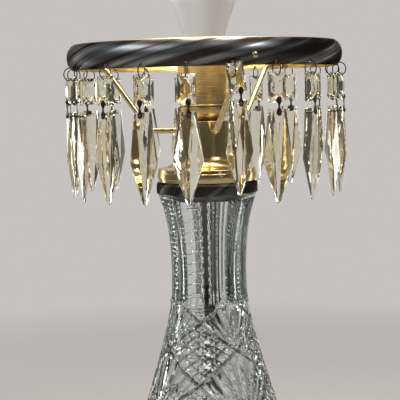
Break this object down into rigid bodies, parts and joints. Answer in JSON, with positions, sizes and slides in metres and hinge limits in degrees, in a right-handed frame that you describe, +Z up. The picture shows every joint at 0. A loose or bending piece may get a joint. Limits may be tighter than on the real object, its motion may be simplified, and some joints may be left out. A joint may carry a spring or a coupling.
{
  "type": "table lamp",
  "caption": "Cut-glass table lamp: waisted, flared glass column, brass bell and socket, and a bronze gallery ring on bent arms hung with glass beads and spear prisms.",
  "frame": {"origin": "centre of the foot's underside, on the table", "axes": "+Z up along the lamp pipe, -Y to the front, +X to the right as seen from the front"},
  "size_m": [0.2408, 0.2441, 0.5038],
  "materials": {
    "cut_glass": "clear lead glass, miter cut and polished",
    "crystal": "clear pressed and polished glass on brass wire",
    "dark_bronze": "dark bronze patina, satin",
    "brass": "aged, rubbed bright on the edges",
    "steel": "zinc plated",
    "felt": "green felt",
    "phenolic": "moulded",
    "bulb_housing": "satin white",
    "bulb_globe": "frosted diffuser, lit"
  },
  "bodies": {
    "lamp": {"felt_pad": "felt", "base_plate": "steel", "lamp_pipe": "steel", "pipe_nut": "steel", "glass_body": "cut_glass", "cord_bush": "phenolic", "vase_cap": "dark_bronze", "husk": "brass", "arm_hub": "brass", "arm_front": "brass", "arm_right": "brass", "arm_left": "brass", "gallery_ring": "dark_bronze", "socket_cap": "brass", "socket_shell": "brass", "socket_body": "phenolic", "screw_shell": "brass", "centre_contact": "brass"},
    "bulb": {"bulb_base": "bulb_housing", "bulb_globe": "bulb_globe"},
    "bead_01": {"bead_01": "crystal"},
    "spear_01": {"spear_01": "crystal"},
    "bead_02": {"bead_02": "crystal"},
    "spear_02": {"spear_02": "crystal"},
    "bead_03": {"bead_03": "crystal"},
    "spear_03": {"spear_03": "crystal"},
    "bead_04": {"bead_04": "crystal"},
    "spear_04": {"spear_04": "crystal"},
    "bead_05": {"bead_05": "crystal"},
    "spear_05": {"spear_05": "crystal"},
    "bead_06": {"bead_06": "crystal"},
    "spear_06": {"spear_06": "crystal"},
    "bead_07": {"bead_07": "crystal"},
    "spear_07": {"spear_07": "crystal"},
    "bead_08": {"bead_08": "crystal"},
    "spear_08": {"spear_08": "crystal"},
    "bead_09": {"bead_09": "crystal"},
    "spear_09": {"spear_09": "crystal"},
    "bead_10": {"bead_10": "crystal"},
    "spear_10": {"spear_10": "crystal"},
    "bead_11": {"bead_11": "crystal"},
    "spear_11": {"spear_11": "crystal"},
    "bead_12": {"bead_12": "crystal"},
    "spear_12": {"spear_12": "crystal"},
    "bead_13": {"bead_13": "crystal"},
    "spear_13": {"spear_13": "crystal"},
    "bead_14": {"bead_14": "crystal"},
    "spear_14": {"spear_14": "crystal"},
    "bead_15": {"bead_15": "crystal"},
    "spear_15": {"spear_15": "crystal"},
    "bead_16": {"bead_16": "crystal"},
    "spear_16": {"spear_16": "crystal"},
    "bead_17": {"bead_17": "crystal"},
    "spear_17": {"spear_17": "crystal"},
    "bead_18": {"bead_18": "crystal"},
    "spear_18": {"spear_18": "crystal"},
    "bead_19": {"bead_19": "crystal"},
    "spear_19": {"spear_19": "crystal"},
    "bead_20": {"bead_20": "crystal"},
    "spear_20": {"spear_20": "crystal"}
  },
  "joints": [
    {"name": "bulb_out", "type": "slide", "parent": "lamp", "child": "bulb", "axis": [0, 0, 1], "range_m": [0, 0.03]},
    {"name": "swing_01", "type": "hinge", "parent": "lamp", "child": "bead_01", "pos_m": [0.02199, -0.1131, 0.4019], "axis": [-0.9816, -0.1908, 0], "range_deg": [-15, 10]},
    {"name": "dangle_01", "type": "hinge", "parent": "bead_01", "child": "spear_01", "pos_m": [0.02535, -0.11678, 0.38652], "axis": [0.515, -0.8572, 0], "range_deg": [-10, 10]},
    {"name": "swing_02", "type": "hinge", "parent": "lamp", "child": "bead_02", "pos_m": [0.05586, -0.10077, 0.4019], "axis": [-0.8746, -0.4848, 0], "range_deg": [-15, 60]},
    {"name": "dangle_02", "type": "hinge", "parent": "bead_02", "child": "spear_02", "pos_m": [0.05586, -0.10077, 0.3786], "axis": [0.3584, -0.9336, 0], "range_deg": [-10, 10]},
    {"name": "swing_03", "type": "hinge", "parent": "lamp", "child": "bead_03", "pos_m": [0.08427, -0.07858, 0.4019], "axis": [-0.682, -0.7314, 0], "range_deg": [-15, 60]},
    {"name": "dangle_03", "type": "hinge", "parent": "bead_03", "child": "spear_03", "pos_m": [0.08427, -0.07858, 0.3786], "axis": [0.7986, -0.6018, 0], "range_deg": [-10, 10]},
    {"name": "swing_04", "type": "hinge", "parent": "lamp", "child": "bead_04", "pos_m": [0.10442, -0.04869, 0.4019], "axis": [-0.4226, -0.9063, 0], "range_deg": [-15, 60]},
    {"name": "dangle_04", "type": "hinge", "parent": "bead_04", "child": "spear_04", "pos_m": [0.10442, -0.04869, 0.3786], "axis": [0.9903, -0.1392, 0], "range_deg": [-10, 10]},
    {"name": "swing_05", "type": "hinge", "parent": "lamp", "child": "bead_05", "pos_m": [0.11436, -0.01404, 0.4019], "axis": [-0.1219, -0.9925, 0], "range_deg": [-15, 60]},
    {"name": "dangle_05", "type": "hinge", "parent": "bead_05", "child": "spear_05", "pos_m": [0.11436, -0.01404, 0.3786], "axis": [0.9397, -0.342, 0], "range_deg": [-10, 10]},
    {"name": "swing_06", "type": "hinge", "parent": "lamp", "child": "bead_06", "pos_m": [0.1131, 0.02199, 0.4019], "axis": [0.1908, -0.9816, 0], "range_deg": [-15, 60]},
    {"name": "dangle_06", "type": "hinge", "parent": "bead_06", "child": "spear_06", "pos_m": [0.1131, 0.02199, 0.3786], "axis": [0.848, 0.5299, 0], "range_deg": [-10, 10]},
    {"name": "swing_07", "type": "hinge", "parent": "lamp", "child": "bead_07", "pos_m": [0.10077, 0.05586, 0.4019], "axis": [0.4848, -0.8746, 0], "range_deg": [-15, 60]},
    {"name": "dangle_07", "type": "hinge", "parent": "bead_07", "child": "spear_07", "pos_m": [0.10077, 0.05586, 0.3786], "axis": [0.9205, 0.3907, 0], "range_deg": [-10, 10]},
    {"name": "swing_08", "type": "hinge", "parent": "lamp", "child": "bead_08", "pos_m": [0.07858, 0.08427, 0.4019], "axis": [0.7314, -0.682, 0], "range_deg": [-15, 60]},
    {"name": "dangle_08", "type": "hinge", "parent": "bead_08", "child": "spear_08", "pos_m": [0.07858, 0.08427, 0.3786], "axis": [0.5446, 0.8387, 0], "range_deg": [-10, 10]},
    {"name": "swing_09", "type": "hinge", "parent": "lamp", "child": "bead_09", "pos_m": [0.04869, 0.10442, 0.4019], "axis": [0.9063, -0.4226, 0], "range_deg": [-15, 60]},
    {"name": "dangle_09", "type": "hinge", "parent": "bead_09", "child": "spear_09", "pos_m": [0.04869, 0.10442, 0.3786], "axis": [0.6947, 0.7193, 0], "range_deg": [-10, 10]},
    {"name": "swing_10", "type": "hinge", "parent": "lamp", "child": "bead_10", "pos_m": [0.01404, 0.11436, 0.4019], "axis": [0.9925, -0.1219, 0], "range_deg": [-15, 60]},
    {"name": "dangle_10", "type": "hinge", "parent": "bead_10", "child": "spear_10", "pos_m": [0.01404, 0.11436, 0.3786], "axis": [0.0523, 0.9986, 0], "range_deg": [-10, 10]},
    {"name": "swing_11", "type": "hinge", "parent": "lamp", "child": "bead_11", "pos_m": [-0.02199, 0.1131, 0.4019], "axis": [0.9816, 0.1908, 0], "range_deg": [-15, 60]},
    {"name": "dangle_11", "type": "hinge", "parent": "bead_11", "child": "spear_11", "pos_m": [-0.02199, 0.1131, 0.3786], "axis": [-0.4384, 0.8988, 0], "range_deg": [-10, 10]},
    {"name": "swing_12", "type": "hinge", "parent": "lamp", "child": "bead_12", "pos_m": [-0.05586, 0.10077, 0.4019], "axis": [0.8746, 0.4848, 0], "range_deg": [-15, 60]},
    {"name": "dangle_12", "type": "hinge", "parent": "bead_12", "child": "spear_12", "pos_m": [-0.05586, 0.10077, 0.3786], "axis": [-0.2924, 0.9563, 0], "range_deg": [-10, 10]},
    {"name": "swing_13", "type": "hinge", "parent": "lamp", "child": "bead_13", "pos_m": [-0.08427, 0.07858, 0.4019], "axis": [0.682, 0.7314, 0], "range_deg": [-15, 60]},
    {"name": "dangle_13", "type": "hinge", "parent": "bead_13", "child": "spear_13", "pos_m": [-0.08427, 0.07858, 0.3786], "axis": [-0.8192, 0.5736, 0], "range_deg": [-10, 10]},
    {"name": "swing_14", "type": "hinge", "parent": "lamp", "child": "bead_14", "pos_m": [-0.10442, 0.04869, 0.4019], "axis": [0.4226, 0.9063, 0], "range_deg": [-15, 60]},
    {"name": "dangle_14", "type": "hinge", "parent": "bead_14", "child": "spear_14", "pos_m": [-0.10442, 0.04869, 0.3786], "axis": [-0.7431, 0.6691, 0], "range_deg": [-10, 10]},
    {"name": "swing_15", "type": "hinge", "parent": "lamp", "child": "bead_15", "pos_m": [-0.11436, 0.01404, 0.4019], "axis": [0.1219, 0.9925, 0], "range_deg": [-15, 60]},
    {"name": "dangle_15", "type": "hinge", "parent": "bead_15", "child": "spear_15", "pos_m": [-0.11436, 0.01404, 0.3786], "axis": [-0.9945, -0.1045, 0], "range_deg": [-10, 10]},
    {"name": "swing_16", "type": "hinge", "parent": "lamp", "child": "bead_16", "pos_m": [-0.1131, -0.02199, 0.4019], "axis": [-0.1908, 0.9816, 0], "range_deg": [-15, 60]},
    {"name": "dangle_16", "type": "hinge", "parent": "bead_16", "child": "spear_16", "pos_m": [-0.1131, -0.02199, 0.3786], "axis": [-0.8746, -0.4848, 0], "range_deg": [-10, 10]},
    {"name": "swing_17", "type": "hinge", "parent": "lamp", "child": "bead_17", "pos_m": [-0.10077, -0.05586, 0.4019], "axis": [-0.4848, 0.8746, 0], "range_deg": [-15, 60]},
    {"name": "dangle_17", "type": "hinge", "parent": "bead_17", "child": "spear_17", "pos_m": [-0.10077, -0.05586, 0.3786], "axis": [-0.9925, -0.1219, 0], "range_deg": [-10, 10]},
    {"name": "swing_18", "type": "hinge", "parent": "lamp", "child": "bead_18", "pos_m": [-0.07858, -0.08427, 0.4019], "axis": [-0.7314, 0.682, 0], "range_deg": [-15, 60]},
    {"name": "dangle_18", "type": "hinge", "parent": "bead_18", "child": "spear_18", "pos_m": [-0.07858, -0.08427, 0.3786], "axis": [-0.5592, -0.829, 0], "range_deg": [-10, 10]},
    {"name": "swing_19", "type": "hinge", "parent": "lamp", "child": "bead_19", "pos_m": [-0.04869, -0.10442, 0.4019], "axis": [-0.9063, 0.4226, 0], "range_deg": [-15, 60]},
    {"name": "dangle_19", "type": "hinge", "parent": "bead_19", "child": "spear_19", "pos_m": [-0.04869, -0.10442, 0.3786], "axis": [-0.5, -0.866, 0], "range_deg": [-10, 10]},
    {"name": "swing_20", "type": "hinge", "parent": "lamp", "child": "bead_20", "pos_m": [-0.01404, -0.11436, 0.4019], "axis": [-0.9925, 0.1219, 0], "range_deg": [-15, 60]},
    {"name": "dangle_20", "type": "hinge", "parent": "bead_20", "child": "spear_20", "pos_m": [-0.01404, -0.11436, 0.3786], "axis": [0.2924, -0.9563, 0], "range_deg": [-10, 10]}
  ]
}
